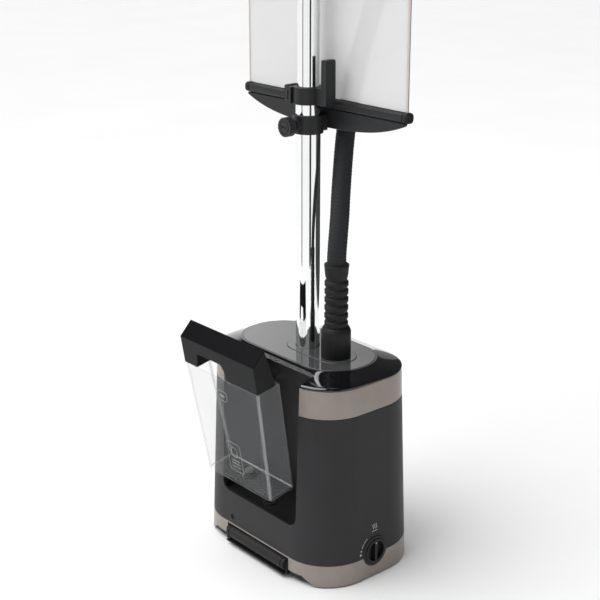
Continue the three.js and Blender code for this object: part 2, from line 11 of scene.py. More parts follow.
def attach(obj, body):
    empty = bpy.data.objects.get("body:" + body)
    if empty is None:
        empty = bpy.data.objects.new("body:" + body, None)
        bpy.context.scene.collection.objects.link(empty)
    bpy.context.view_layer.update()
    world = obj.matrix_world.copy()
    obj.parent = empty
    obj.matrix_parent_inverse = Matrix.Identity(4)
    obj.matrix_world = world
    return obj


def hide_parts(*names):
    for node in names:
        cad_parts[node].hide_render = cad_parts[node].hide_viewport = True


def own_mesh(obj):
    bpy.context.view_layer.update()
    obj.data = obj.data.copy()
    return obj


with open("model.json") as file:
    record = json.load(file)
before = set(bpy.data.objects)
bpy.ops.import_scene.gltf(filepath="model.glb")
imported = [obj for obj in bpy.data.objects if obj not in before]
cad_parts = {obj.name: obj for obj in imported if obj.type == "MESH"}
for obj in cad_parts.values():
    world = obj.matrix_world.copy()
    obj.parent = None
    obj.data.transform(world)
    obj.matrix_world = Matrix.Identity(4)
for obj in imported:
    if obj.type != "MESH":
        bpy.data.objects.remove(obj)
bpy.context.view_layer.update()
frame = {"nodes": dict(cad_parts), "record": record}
scene = bpy.context.scene
MM = 0.001

# ---------- camera ----------

CAMERA_SPOT = (1.21343, -1.05358, 0.905)
CAMERA_BEARING, CAMERA_DIP = 49.4, 19
LENS = 77.28
camera_data = bpy.data.cameras.new("camera")
camera_data.lens = LENS
camera_data.sensor_width = 36
camera_data.clip_end = 30
camera = bpy.data.objects.new("camera", camera_data)
camera.location = CAMERA_SPOT
camera.rotation_euler = (math.radians(90 - CAMERA_DIP), 0, math.radians(CAMERA_BEARING))
scene.collection.objects.link(camera)
scene.camera = camera
scene.view_settings.view_transform = "Standard"

# ---------- driving dimensions, in millimetres, as in the CAD ----------

GAP = 0.3
LID_Z = 289
HALF_X, HALF_Y = 128, 84
CORNER_R = 60
DRAFT = 0.033
WALL = 3
BAY = {"x0": -73, "x1": 80, "floor": 79, "back": -24.5, "corner": 13}
BAY_LIP_Y = -59.4
TANK_TILT = 11.6
TANK_PIVOT = Vector((0, -311, -56))
LOCK_Z = (613, 634)
CLAMP_Z = (576, 599)
THUMB_Z = 587
SCREEN_Y = 26.5
SCREEN_Z = (619, 1468)
CASSETTE_Y, CASSETTE_Z = 36.3, 1478
HOSE_X = 56
KNOB_Z = 37
KNOB_X = 137.6
ROLLER = {"x0": -59, "x1": 65, "y": -91, "z": 18.5, "r": 8.5}
HANGER_Y, HANGER_Z = 62, 1528
CLIP_X, CLIP_PIN_Z = 140, 1477
HANDSET_X, HANDSET_Y, HANDSET_TAIL = 100, 92, 1300
VALVE = (4, -70)
DRAIN = (-50.5, 42.7)
CORD_HOLE = (-92, 52)

# ---------- materials ----------


class Nodes:
    """A small builder for one material's node tree."""

    def __init__(self, name):
        self.material = bpy.data.materials.new(name)
        self.material.use_nodes = True
        self.tree = self.material.node_tree
        self.shader = self.tree.nodes["Principled BSDF"]
        self.place = self.add("ShaderNodeTexCoord").outputs["Object"]

    def add(self, kind, **settings):
        node = self.tree.nodes.new(kind)
        for key, value in settings.items():
            setattr(node, key, value)
        return node

    def link(self, source, target):
        self.tree.links.new(source, target)

    def noise(self, scale, detail=3.0, stretch=(1, 1, 1)):
        mapping = self.add("ShaderNodeMapping")
        mapping.inputs["Scale"].default_value = stretch
        self.link(self.place, mapping.inputs["Vector"])
        node = self.add("ShaderNodeTexNoise")
        node.inputs["Scale"].default_value = scale
        node.inputs["Detail"].default_value = detail
        self.link(mapping.outputs[0], node.inputs["Vector"])
        return node.outputs["Fac"]

    def ramp(self, source, low, high, start=0.3, end=0.7):
        node = self.add("ShaderNodeMapRange", clamp=True)
        for socket, value in zip(("From Min", "From Max", "To Min", "To Max"), (start, end, low, high)):
            node.inputs[socket].default_value = value
        self.link(source, node.inputs["Value"])
        return node.outputs[0]

    def mix(self, factor, first, second):
        node = self.add("ShaderNodeMix", data_type="RGBA")
        self.link(factor, node.inputs["Factor"])
        for socket, value in ((node.inputs[6], first), (node.inputs[7], second)):
            if isinstance(value, tuple):
                socket.default_value = (*value, 1)
            else:
                self.link(value, socket)
        return node.outputs[2]

    def math(self, operation, *values):
        node = self.add("ShaderNodeMath", operation=operation)
        for socket, value in zip(node.inputs, values):
            if isinstance(value, (int, float)):
                socket.default_value = value
            else:
                self.link(value, socket)
        return node.outputs[0]

    def bump(self, height, depth_mm, strength=1.0):
        node = self.add("ShaderNodeBump")
        node.inputs["Distance"].default_value = depth_mm * MM
        node.inputs["Strength"].default_value = strength
        self.link(height, node.inputs["Height"])
        self.link(node.outputs[0], self.shader.inputs["Normal"])

    def edges(self):
        """1 along convex edges, 0 elsewhere."""
        return self.ramp(self.add("ShaderNodeNewGeometry").outputs["Pointiness"], 0, 1, 0.52, 0.62)

    def set(self, **values):
        for key, value in values.items():
            socket = self.shader.inputs[key.replace("_", " ")]
            socket.default_value = (*value, 1) if isinstance(value, tuple) and len(value) == 3 else value


def moulded(
    name, colour, roughness, grain_mm=0.35, depth_mm=0.012, edge_highlight=1.6, coat=0.0, metallic=0.0, flake=0.0,
    specular=0.3,
):
    """Moulded or painted plastic: fine grain, slow mottling, uneven polish and a painted highlight along
    convex edges.
    """
    n = Nodes(name)
    slow = n.noise(18, 2)
    fine = n.noise(1 / (grain_mm * MM), 2)
    darker = tuple(c * 0.9 for c in colour)
    lighter = tuple(min(1, c * 1.1) for c in colour)
    body = n.mix(n.ramp(slow, 0, 1), darker, lighter)
    if flake:
        sparkle = n.ramp(n.noise(2600, 1), 0, flake, 0.55, 0.75)
        body = n.mix(sparkle, body, tuple(min(1, c * 2.2) for c in colour))
    # Painted highlight: convex edges are mixed towards a lighter colour.
    edge = n.math("MULTIPLY", n.edges(), 0.35)
    n.link(n.mix(edge, body, tuple(min(1, c * edge_highlight) for c in colour)), n.shader.inputs["Base Color"])
    patchy = n.math("ADD", n.ramp(slow, -0.04, 0.04), n.ramp(fine, -0.05, 0.05))
    n.link(n.math("ADD", patchy, roughness), n.shader.inputs["Roughness"])
    n.set(Metallic=metallic, Coat_Weight=coat, Coat_Roughness=0.06, Specular_IOR_Level=specular)
    n.bump(fine, depth_mm)
    return n.material


def glossy(name, colour, roughness, coat=1.0):
    """Polished plastic with faint ripples and hairline polish marks."""
    n = Nodes(name)
    slow = n.noise(9, 2)
    marks = n.noise(420, 2, (1, 0.05, 0.4))
    n.link(n.mix(n.ramp(slow, 0, 1), colour, tuple(c * 1.25 for c in colour)), n.shader.inputs["Base Color"])
    n.link(n.math("ADD", n.ramp(marks, 0, 0.05, 0.45, 0.8), roughness), n.shader.inputs["Roughness"])
    n.set(Coat_Weight=coat, Coat_Roughness=0.03)
    n.bump(slow, 0.05, 0.3)
    return n.material


def metal(name, colour, roughness, stretch=(1, 1, 1), brushed=0.0):
    """Chrome or steel: smears in the polish and, if brushed, fine lines."""
    n = Nodes(name)
    smear = n.noise(14, 4)
    lines = n.noise(900, 2, stretch)
    n.link(n.mix(n.ramp(smear, 0, 1), tuple(c * 0.96 for c in colour), colour), n.shader.inputs["Base Color"])
    uneven = n.math("ADD", n.ramp(smear, 0, 0.03), n.ramp(lines, 0, brushed))
    n.link(n.math("ADD", uneven, roughness), n.shader.inputs["Roughness"])
    n.set(Metallic=1.0)
    n.bump(lines, 0.004, 0.25 + brushed)
    return n.material


def woven(name, colour, pitch_mm, depth_mm, roughness=0.92, alpha=1.0, sheen=0.2):
    """A plain weave: warp along Z and weft along X, with uneven threads."""
    n = Nodes(name)
    split = n.add("ShaderNodeSeparateXYZ")
    n.link(n.place, split.inputs[0])
    turns = 2 * math.pi / (pitch_mm * MM)
    warp = n.math("SINE", n.math("MULTIPLY", split.outputs["X"], turns))
    weft = n.math("SINE", n.math("MULTIPLY", split.outputs["Z"], turns))
    cross = n.math("MULTIPLY", warp, weft)
    slub = n.noise(420, 2, (1, 1, 0.3))
    cloud = n.noise(14, 3)
    shade = n.math("ADD", n.ramp(cross, -0.25, 0.25, -1, 1), n.ramp(slub, 0, 0.6))
    body = n.mix(shade, tuple(c * 0.96 for c in colour), colour)
    clouded = n.mix(n.ramp(cloud, 0, 0.25), body, tuple(c * 0.97 for c in colour))
    n.link(clouded, n.shader.inputs["Base Color"])
    n.set(Roughness=roughness, Alpha=alpha, Sheen_Weight=sheen, Sheen_Roughness=0.5)
    n.bump(n.math("ADD", cross, slub), depth_mm, 0.6)
    return n.material


def clear_plastic(name, tint, alpha):
    """Clear moulded plastic: see-through face on, with gloss and faint flow marks."""
    n = Nodes(name)
    flow = n.noise(30, 3, (1, 1, 0.25))
    layer = n.add("ShaderNodeLayerWeight")
    layer.inputs["Blend"].default_value = 0.35
    facing = n.math("ADD", n.ramp(layer.outputs["Facing"], alpha, 0.8, 0.6, 1.0), n.ramp(flow, 0, 0.01))
    n.link(facing, n.shader.inputs["Alpha"])
    n.link(n.mix(n.ramp(flow, 0, 1), tint, tuple(c * 0.95 for c in tint)), n.shader.inputs["Base Color"])
    n.set(Roughness=0.03, IOR=1.49)
    n.bump(flow, 0.08, 0.3)
    return n.material


looks = {
    "shell": moulded("shell_plastic", (0.027, 0.027, 0.029), 0.5, 0.5, 0.014, specular=0.22),
    "taupe": moulded("taupe_paint", (0.27, 0.235, 0.21), 0.36, 0.3, 0.006, 1.25, 0.15, 0.35, 0.5),
    "gloss_black": glossy("gloss_black_plastic", (0.004, 0.004, 0.005), 0.05),
    "lid": glossy("smoked_lid_plastic", (0.05, 0.051, 0.053), 0.09),
    "black_plastic": moulded("black_plastic", (0.011, 0.011, 0.012), 0.48, 0.4, 0.012),
    "grey_plastic": moulded("dark_grey_plastic", (0.017, 0.0175, 0.019), 0.42, 0.4, 0.01),
    "handle_body": moulded("handle_plastic", (0.015, 0.0155, 0.0165), 0.5, 0.4, 0.01, specular=0.1),
    "handle_top": moulded("handle_top_plastic", (0.004, 0.004, 0.005), 0.3, 0.4, 0.004, specular=0.04),
    "chrome": metal("chrome_plate", (0.93, 0.935, 0.94), 0.03),
    "steel": metal("brushed_steel", (0.62, 0.62, 0.63), 0.2, (0.05, 1, 1), 0.15),
    "brass": metal("brass", (0.68, 0.52, 0.25), 0.25, (1, 1, 0.1), 0.1),
    "clear_tank": clear_plastic("clear_tank_plastic", (0.42, 0.43, 0.44), 0.055),
    # A lighter, more opaque copy of the clear plastic: a painted highlight for the tank's rounded corners.
    "tank_corner_highlight": clear_plastic("clear_tank_corner", (0.6, 0.61, 0.62), 0.28),
    "screen_fabric": woven("screen_cloth", (0.82, 0.82, 0.82), 0.9, 0.05, alpha=0.72),
    "binding": woven("beige_binding", (0.6, 0.52, 0.48), 0.6, 0.06),
    "hose_fabric": moulded("hose_sleeve", (0.02, 0.021, 0.023), 0.62, 0.3, 0.03),
    "rubber": moulded("black_rubber", (0.014, 0.014, 0.015), 0.62, 0.25, 0.02),
    "silicone": moulded("silicone", (0.12, 0.12, 0.115), 0.5, 0.5, 0.01, 1.1),
    "circuit_board": moulded("board_lacquer", (0.02, 0.11, 0.05), 0.35, 1.5, 0.05, 1.2),
    "tank_print": moulded("faint_print", (0.22, 0.22, 0.22), 0.6, 0.2, 0.004, 1.1),
    "print": moulded("pale_print", (0.5, 0.5, 0.5), 0.6, 0.2, 0.004, 1.1),
}

for node in frame["nodes"].values():
    slot_name = next(s["material_slot"] for s in frame["record"]["subparts"] if s["node"] == node.name)
    for place in node.material_slots:
        place.material = looks[slot_name]

# ---------- shapes ----------


def solid(verts, faces):
    """A linked object from points in millimetres."""
    mesh = bpy.data.meshes.new("solid")
    mesh.from_pydata([Vector(v) * MM for v in verts], [], faces)
    work = bmesh.new()
    work.from_mesh(mesh)
    bmesh.ops.remove_doubles(work, verts=work.verts, dist=1e-7)
    bmesh.ops.recalc_face_normals(work, faces=work.faces)
    work.to_mesh(mesh)
    work.free()
    obj = bpy.data.objects.new("solid", mesh)
    scene.collection.objects.link(obj)
    return obj


def loft(loops, ring=False):
    """Skins loops of equally many points; ring joins the last to the first, else both ends are capped."""
    count = len(loops[0])
    verts = [p for loop in loops for p in loop]
    faces = []
    spans = len(loops) if ring else len(loops) - 1
    for i in range(spans):
        a, b = i * count, (i + 1) % len(loops) * count
        faces += [(a + k, a + (k + 1) % count, b + (k + 1) % count, b + k) for k in range(count)]
    if not ring:
        faces += [tuple(range(count)), tuple(range(len(verts) - count, len(verts)))]
    return solid(verts, faces)


def turn_to(axis, u, v, t):
    """A point with u and v across an axis and t along it; u, v follow X, Y, Z order."""
    return {"x": (t, u, v), "y": (u, t, v), "z": (u, v, t)}[axis]


def prism(points, axis, start, end):
    """An outline pushed along an axis."""
    return loft([[turn_to(axis, u, v, t) for u, v in points] for t in (start, end)])


def turned(profile, axis, centre, sides=64):
    """A turned body from (radius, place along the axis) pairs; a profile off the axis makes a ring."""
    ring = all(r > 0 for r, _ in profile)
    loops = []
    for r, t in profile:
        r = max(r, 1e-6)
        loops.append([
            turn_to(axis, centre[0] + r * math.cos(2 * math.pi * k / sides),
                    centre[1] + r * math.sin(2 * math.pi * k / sides), t)
            for k in range(sides)
        ])
    return loft(loops, ring)


def rod(axis, start, end, centre, r, sides=64):
    return turned([(0, start), (r, start), (r, end), (0, end)], axis, centre, sides)


def tube(axis, start, end, centre, r, bore, sides=64):
    return turned([(r, start), (r, end), (bore, end), (bore, start)], axis, centre, sides)


def block(x0, x1, y0, y1, z0, z1):
    return prism([(x0, y0), (x1, y0), (x1, y1), (x0, y1)], "z", z0, z1)


def rounded(x0, x1, y0, y1, r, steps=8):
    """A rounded rectangle's outline."""
    points = []
    corners = ((x1 - r, y0 + r, -90), (x1 - r, y1 - r, 0), (x0 + r, y1 - r, 90), (x0 + r, y0 + r, 180))
    for cx, cy, start in corners:
        for k in range(steps + 1):
            a = math.radians(start + 90 * k / steps)
            points.append((cx + r * math.cos(a), cy + r * math.sin(a)))
    return points


def circle(cx, cy, r, sides=64):
    angles = [2 * math.pi * k / sides for k in range(sides)]
    return [(cx + r * math.cos(a), cy + r * math.sin(a)) for a in angles]


def bezier(p0, p1, p2, p3, steps=12):
    """Points along a cubic curve, without its first one."""
    found = []
    for k in range(1, steps + 1):
        t = k / steps
        w = ((1 - t) ** 3, 3 * t * (1 - t) ** 2, 3 * t * t * (1 - t), t ** 3)
        found.append(tuple(sum(wi * p[i] for wi, p in zip(w, (p0, p1, p2, p3))) for i in (0, 1)))
    return found


def apply_modifiers(obj):
    depsgraph = bpy.context.evaluated_depsgraph_get()
    mesh = bpy.data.meshes.new_from_object(obj.evaluated_get(depsgraph))
    obj.modifiers.clear()
    obj.data = mesh


def combine(target, operation, *others):
    for other in others:
        modifier = target.modifiers.new("combine", "BOOLEAN")
        modifier.operation = operation
        modifier.solver = "EXACT"
        modifier.object = other
    bpy.context.view_layer.update()
    apply_modifiers(target)
    for other in others:
        bpy.data.objects.remove(other)
    return target


def cut(target, *others):
    return combine(target, "DIFFERENCE", *others)


def join(target, *others):
    return combine(target, "UNION", *others)


def piece(name, obj, look, body, nodes=(), bevel=0.0, segments=2, sharp=40, limit=32):
    """Rounds the edges, shades, paints, names and mounts a finished shape."""
    obj.name = name
    if bevel:
        modifier = obj.modifiers.new("bevel", "BEVEL")
        modifier.width = bevel * MM
        modifier.segments = segments
        modifier.limit_method = "ANGLE"
        modifier.angle_limit = math.radians(limit)
        obj.modifiers.new("normals", "WEIGHTED_NORMAL").keep_sharp = True
    obj.data.polygons.foreach_set("use_smooth", [True] * len(obj.data.polygons))
    if not bevel:
        obj.data.set_sharp_from_angle(angle=math.radians(sharp))
    bpy.context.view_layer.update()
    if bevel:
        apply_modifiers(obj)
    obj.data.name = name
    obj.data.materials.clear()
    obj.data.materials.append(looks[look])
    obj.data.polygons.foreach_set("material_index", [0] * len(obj.data.polygons))
    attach(obj, body)
    if nodes:
        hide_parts(*nodes)
    return obj


# ---------- steam hose ----------

HOSE_ROUTE = [
    (0.056, 0, 0.4153), (0.056, 0, 0.426), (0.054, 0.0035, 0.446), (0.0495, 0.010, 0.471),
    (0.042, 0.0185, 0.498), (0.033, 0.029, 0.526), (0.025, 0.039, 0.553), (0.019, 0.0485, 0.582),
    (0.0185, 0.0545, 0.613), (0.025, 0.0575, 0.650), (0.0375, 0.059, 0.692), (0.052, 0.060, 0.732),
    (0.075, 0.063, 0.792), (0.101, 0.068, 0.866), (0.124, 0.074, 0.944), (0.138, 0.080, 1.020),
    (0.142, 0.085, 1.090), (0.135, 0.089, 1.150), (0.118, 0.0915, 1.200), (0.105, 0.092, 1.228),
    (0.100, 0.092, 1.250), (0.100, 0.092, 1.2637),
]
HOSE_R = 12.5
RIB_PITCH = 4.6


def smooth_route(points, spacing):
    """Evenly spaced points, in millimetres, on a centripetal curve through the points."""
    points = [Vector(p) / MM for p in points]
    ends = [2 * points[0] - points[1], *points, 2 * points[-1] - points[-2]]
    fine = []
    for p0, p1, p2, p3 in zip(ends, ends[1:], ends[2:], ends[3:]):
        t = [0]
        for a, b in ((p0, p1), (p1, p2), (p2, p3)):
            t.append(t[-1] + (b - a).length ** 0.5)
        for k in range(24):
            u = t[1] + (t[2] - t[1]) * k / 24
            a1 = p0.lerp(p1, (u - t[0]) / (t[1] - t[0]))
            a2 = p1.lerp(p2, (u - t[1]) / (t[2] - t[1]))
            a3 = p2.lerp(p3, (u - t[2]) / (t[3] - t[2]))
            b1 = a1.lerp(a2, (u - t[0]) / (t[2] - t[0]))
            b2 = a2.lerp(a3, (u - t[1]) / (t[3] - t[1]))
            fine.append(b1.lerp(b2, (u - t[1]) / (t[2] - t[1])))
    fine.append(points[-1])
    along = [0]
    for a, b in zip(fine, fine[1:]):
        along.append(along[-1] + (b - a).length)
    count = round(along[-1] / spacing)
    even, i = [], 0
    for k in range(count + 1):
        s = along[-1] * k / count
        while i < len(fine) - 2 and along[i + 1] < s:
            i += 1
        even.append(fine[i].lerp(fine[i + 1], (s - along[i]) / (along[i + 1] - along[i])))
    return even, along[-1]


def swept(points, radius_at, sides=28):
    """A round tube along points; radius_at(i) gives its radius at each one."""
    loops = []
    side = Vector((0, 1, 0))
    for i, p in enumerate(points):
        ahead = (points[min(i + 1, len(points) - 1)] - points[max(i - 1, 0)]).normalized()
        side = (side - ahead * side.dot(ahead)).normalized()
        other = ahead.cross(side)
        r = radius_at(i)
        loops.append([
            tuple(p + (side * math.cos(a) + other * math.sin(a)) * r)
            for a in (2 * math.pi * k / sides for k in range(sides))
        ])
    return loft(loops)


hose_points, hose_length = smooth_route(HOSE_ROUTE, RIB_PITCH / 4)
RIB_DIP = (0.0, 0.08, 0.45, 0.22)
hose = piece(
    "hose_sleeve", swept(hose_points, lambda i: HOSE_R - RIB_DIP[i % 4]), "hose_fabric", "base",
    ["steam_hose"], sharp=80,
)


def shorten(obj):
    """Gives obj a mesh of its own."""
    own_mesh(obj)


shorten(hose)

# ---------- housing ----------


def grown(outline, z, a, b):
    grow = (LID_Z - z) * DRAFT
    return [(x * (a + grow) / a, y * (b + grow) / b, z) for x, y in outline]


def housing_loop(z, offset, steps=20):
    """The housing's outline at a height, offset from its outer wall."""
    a, b = HALF_X + offset, HALF_Y + offset
    return grown(rounded(-a, a, -b, b, CORNER_R + offset, steps), z, a, b)


def housing_ring(z0, z1, wall, lip=0.5):
    """One band of the wall, with small rounded lips at its outer edges."""
    loops = [
        housing_loop(z0, -lip), housing_loop(z0 + lip * 0.3, -lip * 0.3), housing_loop(z0 + lip, 0),
        housing_loop(z1 - lip, 0), housing_loop(z1 - lip * 0.3, -lip * 0.3), housing_loop(z1, -lip),
        housing_loop(z1, -wall), housing_loop(z0, -wall),
    ]
    return loft(loops, ring=True)


def bay_cutter(margin=0.0):
    outline = rounded(BAY["x0"] - margin, BAY["x1"] + margin, BAY["floor"] - margin, 330, BAY["corner"], 12)
    return prism(outline, "y", -120, -60)


lower_band = cut(
    housing_ring(1.6, 32, WALL),
    block(ROLLER["x0"] - 3, ROLLER["x1"] + 3, -110, -76, -1, 30),
    prism([(-112, -2), (116, -2), (92, 13.5), (-88, 13.5)], "y", -110, -40),
    prism([(-100, -2), (96, -2), (86, 13.5), (-90, 13.5)], "y", 60, 110),
    rod("x", 120, 150, (0, KNOB_Z), 21 + GAP),
)
piece("band_lower", lower_band, "taupe", "base", ["lower_band"], bevel=0.4)

boss = cut(
    turned(
        [(0, 131.5), (21, 131.5), (21, KNOB_X - 1), (20.6, KNOB_X - 0.3), (20, KNOB_X), (0, KNOB_X)],
        "x", (0, KNOB_Z),
    ),
    loft([housing_loop(z, -WALL) for z in (0, 70)]),
)
shell = cut(
    join(housing_ring(32.3, 236, WALL), boss),
    bay_cutter(),
    rod("y", -120, -70, DRAIN, 4.2, 32),
    rod("y", 70, 120, CORD_HOLE, 8.3, 40),
    rod("x", 120, 150, (0, KNOB_Z), 18),
)
piece("shell", shell, "shell", "base", ["body_shell"], bevel=0.5)
upper_band = cut(housing_ring(236.3, 274, WALL), bay_cutter())
piece("band_upper", upper_band, "taupe", "base", ["upper_band"], bevel=0.5)

# The lid: the same outline shrinks from the wall to the flat plate, with a soft shoulder.
PLATE_A, PLATE_B, PLATE_R = 105, 53, 50


def lid_loop(z, t, offset=0.4, steps=20):
    a, b, r = HALF_X + offset, HALF_Y + offset, CORNER_R + offset
    a2, b2, r2 = PLATE_A + 2 + offset, PLATE_B + 2 + offset, PLATE_R + 2 + offset
    outer = grown(rounded(-a, a, -b, b, r, steps), z, a, b)
    inner = rounded(-a2, a2, -b2, b2, r2, steps)
    return [(p[0] + t * (q[0] - p[0]), p[1] + t * (q[1] - p[1]), z) for p, q in zip(outer, inner)]


rim_profile = [
    (274.3, 0.03), (274.6, 0), (276.2, 0), (277.4, 0.03), (278.3, 0.08), (280, 0.2), (282.2, 0.4),
    (284.4, 0.62), (286.4, 0.82), (287.7, 0.94), (288.3, 0.985), (288.5, 1.0),
]
rim_loops = [lid_loop(z, t) for z, t in rim_profile]
rim_loops += [[(x * 0.982, y * 0.965, 288.5) for x, y, _ in rim_loops[-1]]]
rim_loops += [[(x, y, 282.5) for x, y, _ in rim_loops[-1]], lid_loop(276, 0.3), lid_loop(274.3, 0.12)]
rim = cut(
    loft(rim_loops, ring=True),
    block(BAY["x0"] - 1.2, BAY["x1"] + 1.2, -120, BAY_LIP_Y, 200, 300),
)
piece("lid_shoulder", rim, "gloss_black", "base", ["lid_rim"], bevel=0.6, limit=40)


def stadium(r, steps=24):
    return rounded(-r, HOSE_X + r, -r, r, r - 0.01, steps)


lid_outline = rounded(-PLATE_A, PLATE_A, -PLATE_B, PLATE_B, PLATE_R, 24)
lid = cut(prism(lid_outline, "z", LID_Z - 3, LID_Z), prism(stadium(27 + GAP), "z", 270, 300))
piece("lid_plate_top", lid, "lid", "base", ["lid_plate"], bevel=0.7, segments=3)
insert = cut(
    prism(stadium(27), "z", LID_Z - 6, LID_Z + 0.6),
    rod("z", 270, 300, (0, 0), 16.3),
    rod("z", 270, 300, (HOSE_X, 0), 16.5),
)
piece("pole_surround", insert, "lid", "base", ["pole_insert"], bevel=0.6, segments=3)

liner = cut(
    block(BAY["x0"] - 2.5, BAY["x1"] + 2.5, -100, BAY["back"] + 2.5, BAY["floor"] - 2.5, 272),
    block(BAY["x0"], BAY["x1"], -120, BAY["back"], BAY["floor"], 300),
    rod("z", 60, 100, VALVE, 9.6),
)
liner = combine(liner, "INTERSECT", loft([housing_loop(z, -WALL - GAP) for z in (60, 272)]))
piece("bay_liner", liner, "black_plastic", "base", ["tank_bay_liner"], bevel=0.5)
seat_profile = [
    (3, 70), (12, 70), (12, 76), (9.3, 76), (9.3, 80.6), (8.7, 81.2), (5.4, 81.2), (5, 79), (3, 79),
]
piece("inlet_seat", turned(seat_profile, "z", VALVE, 48), "rubber", "base", ["water_inlet_seat"])

drain_profile = [(0, -91.3), (3.3, -91.3), (3.9, -90.7), (3.9, -86), (2.6, -86), (2.6, -82), (0, -82)]
drain = turned(drain_profile, "y", DRAIN, 40)
drain = cut(drain, block(DRAIN[0] - 2.8, DRAIN[0] + 2.8, -92, -90.4, DRAIN[1] - 0.5, DRAIN[1] + 0.5))
piece("drain_screw", drain, "black_plastic", "base", ["drain_plug"])
gland = [
    (7.9, 84.5), (7.9, 90), (7.2, 90.6), (7.2, 91.6), (7.6, 92.2), (7.0, 97), (6.6, 97.5), (3.6, 97.5),
    (3.6, 84.5),
]
piece("cord_gland", turned(gland, "y", CORD_HOLE, 48), "rubber", "base", ["mains_cord_gland"])

# Roller under the tank's side, with grooves near its ends.
r = ROLLER["r"]
x0, x1 = ROLLER["x0"] + 0.6, ROLLER["x1"] - 0.6
roller_profile = [
    (0, x0 - 1.6), (2, x0 - 1.6), (2, x0), (r - 1.2, x0), (r - 0.4, x0 + 0.4), (r, x0 + 1.2),
    (r, x0 + 5), (r - 0.8, x0 + 5.4), (r - 0.8, x0 + 6.6), (r, x0 + 7), (r, x1 - 7),
    (r - 0.8, x1 - 6.6), (r - 0.8, x1 - 5.4), (r, x1 - 5), (r, x1 - 1.2), (r - 0.4, x1 - 0.4),
    (r - 1.2, x1), (2, x1), (2, x1 + 1.6), (0, x1 + 1.6),
]
roller = turned(roller_profile, "x", (ROLLER["y"], ROLLER["z"]), 56)
piece("roller_tube", roller, "rubber", "roller", ["transport_roller"])

foot_spots = {
    "front_left": (-114, -50), "front_right": (114, -50), "rear_left": (-114, 50), "rear_right": (114, 50),
}
for corner, spot in foot_spots.items():
    foot = turned([(0, 0), (7.6, 0), (8.6, 0.5), (9, 1.4), (9, 5.2), (0, 5.2)], "z", spot, 40)
    piece(f"pad_{corner}", foot, "rubber", "base", [f"foot_{corner}"])

# Control knob: a disc with a hollow on each side of its grip.
knob = turned(
    [
        (0, 131.5), (17.5, 131.5), (17.5, KNOB_X + 0.4), (17.2, KNOB_X + 1.1), (16.5, KNOB_X + 1.4),
        (0, KNOB_X + 1.4),
    ],
    "x", (0, KNOB_Z),
)
for side in (-1, 1):
    hollow = [(side * 1.9, KNOB_Z - 13.8)]
    for k in range(25):
        a = math.radians(-82 + 164 * k / 24)
        hollow.append((side * 14 * math.cos(a), KNOB_Z + 14 * math.sin(a)))
    hollow.append((side * 1.9, KNOB_Z + 13.8))
    knob = cut(knob, prism(hollow, "x", 133.4, 145))
piece("knob_dial", knob, "black_plastic", "knob", ["control_knob"], bevel=0.5)
dot_profile = [(0, KNOB_X + 1.3), (0.9, KNOB_X + 1.3), (0.9, KNOB_X + 1.65), (0, KNOB_X + 1.65)]
dot = turned(dot_profile, "x", (0, KNOB_Z + 12), 20)
piece("knob_dot", dot, "print", "knob")


def end_wall_x(z, offset=0.12):
    """How far out the flat end wall is at a height."""
    return HALF_X + (LID_Z - z) * DRAFT + offset


def printed(name, outlines, body="base"):
    """Flat printed marks on the end wall; each outline holds (y, z) pairs."""
    verts, faces = [], []
    for outline in outlines:
        first = len(verts)
        verts += [(end_wall_x(z), y, z) for y, z in outline]
        faces.append(tuple(range(first, first + len(outline))))
    mesh = bpy.data.meshes.new(name)
    mesh.from_pydata([Vector(v) * MM for v in verts], [], faces)
    obj = bpy.data.objects.new(name, mesh)
    scene.collection.objects.link(obj)
    return piece(name, obj, "print", body)


def stroke(points, width):
    """The outline of a thin line of one width through points."""
    left, right = [], []
    for i, (u, v) in enumerate(points):
        du = points[min(i + 1, len(points) - 1)][0] - points[max(i - 1, 0)][0]
        dv = points[min(i + 1, len(points) - 1)][1] - points[max(i - 1, 0)][1]
        size = math.hypot(du, dv)
        left.append((u - dv / size * width / 2, v + du / size * width / 2))
        right.append((u + dv / size * width / 2, v - du / size * width / 2))
    return left + right[::-1]


arc = []
for k in range(13):
    a = math.radians(122 + 34 * k / 12)
    arc.append((25.5 * math.cos(a), KNOB_Z + 25.5 * math.sin(a)))
marks = [stroke(arc, 0.9)]
for angle, size in ((164, 1.2), (176, 1.5)):
    a = math.radians(angle)
    marks.append(circle(25.5 * math.cos(a), KNOB_Z + 25.5 * math.sin(a), size, 16))
for k in range(3):
    wave = [(-3 + 3 * k + 0.8 * math.sin(j * 0.9), 69 + j * 0.9) for j in range(9)]
    marks.append(stroke(wave, 0.8))
marks.append(stroke([(-5, 66.2), (5, 66.2)], 0.8))
printed("dial_marks", marks)

# ---------- pole, lock, clamp ----------

piece("pole_lower", tube("z", 34, 628, (0, 0), 16, 14.5, 96), "chrome", "base", ["pole_lower_tube"])
piece("pole_upper", tube("z", 486, 1486, (0, 0), 14, 12.6, 96), "chrome", "head", ["pole_upper_tube"])

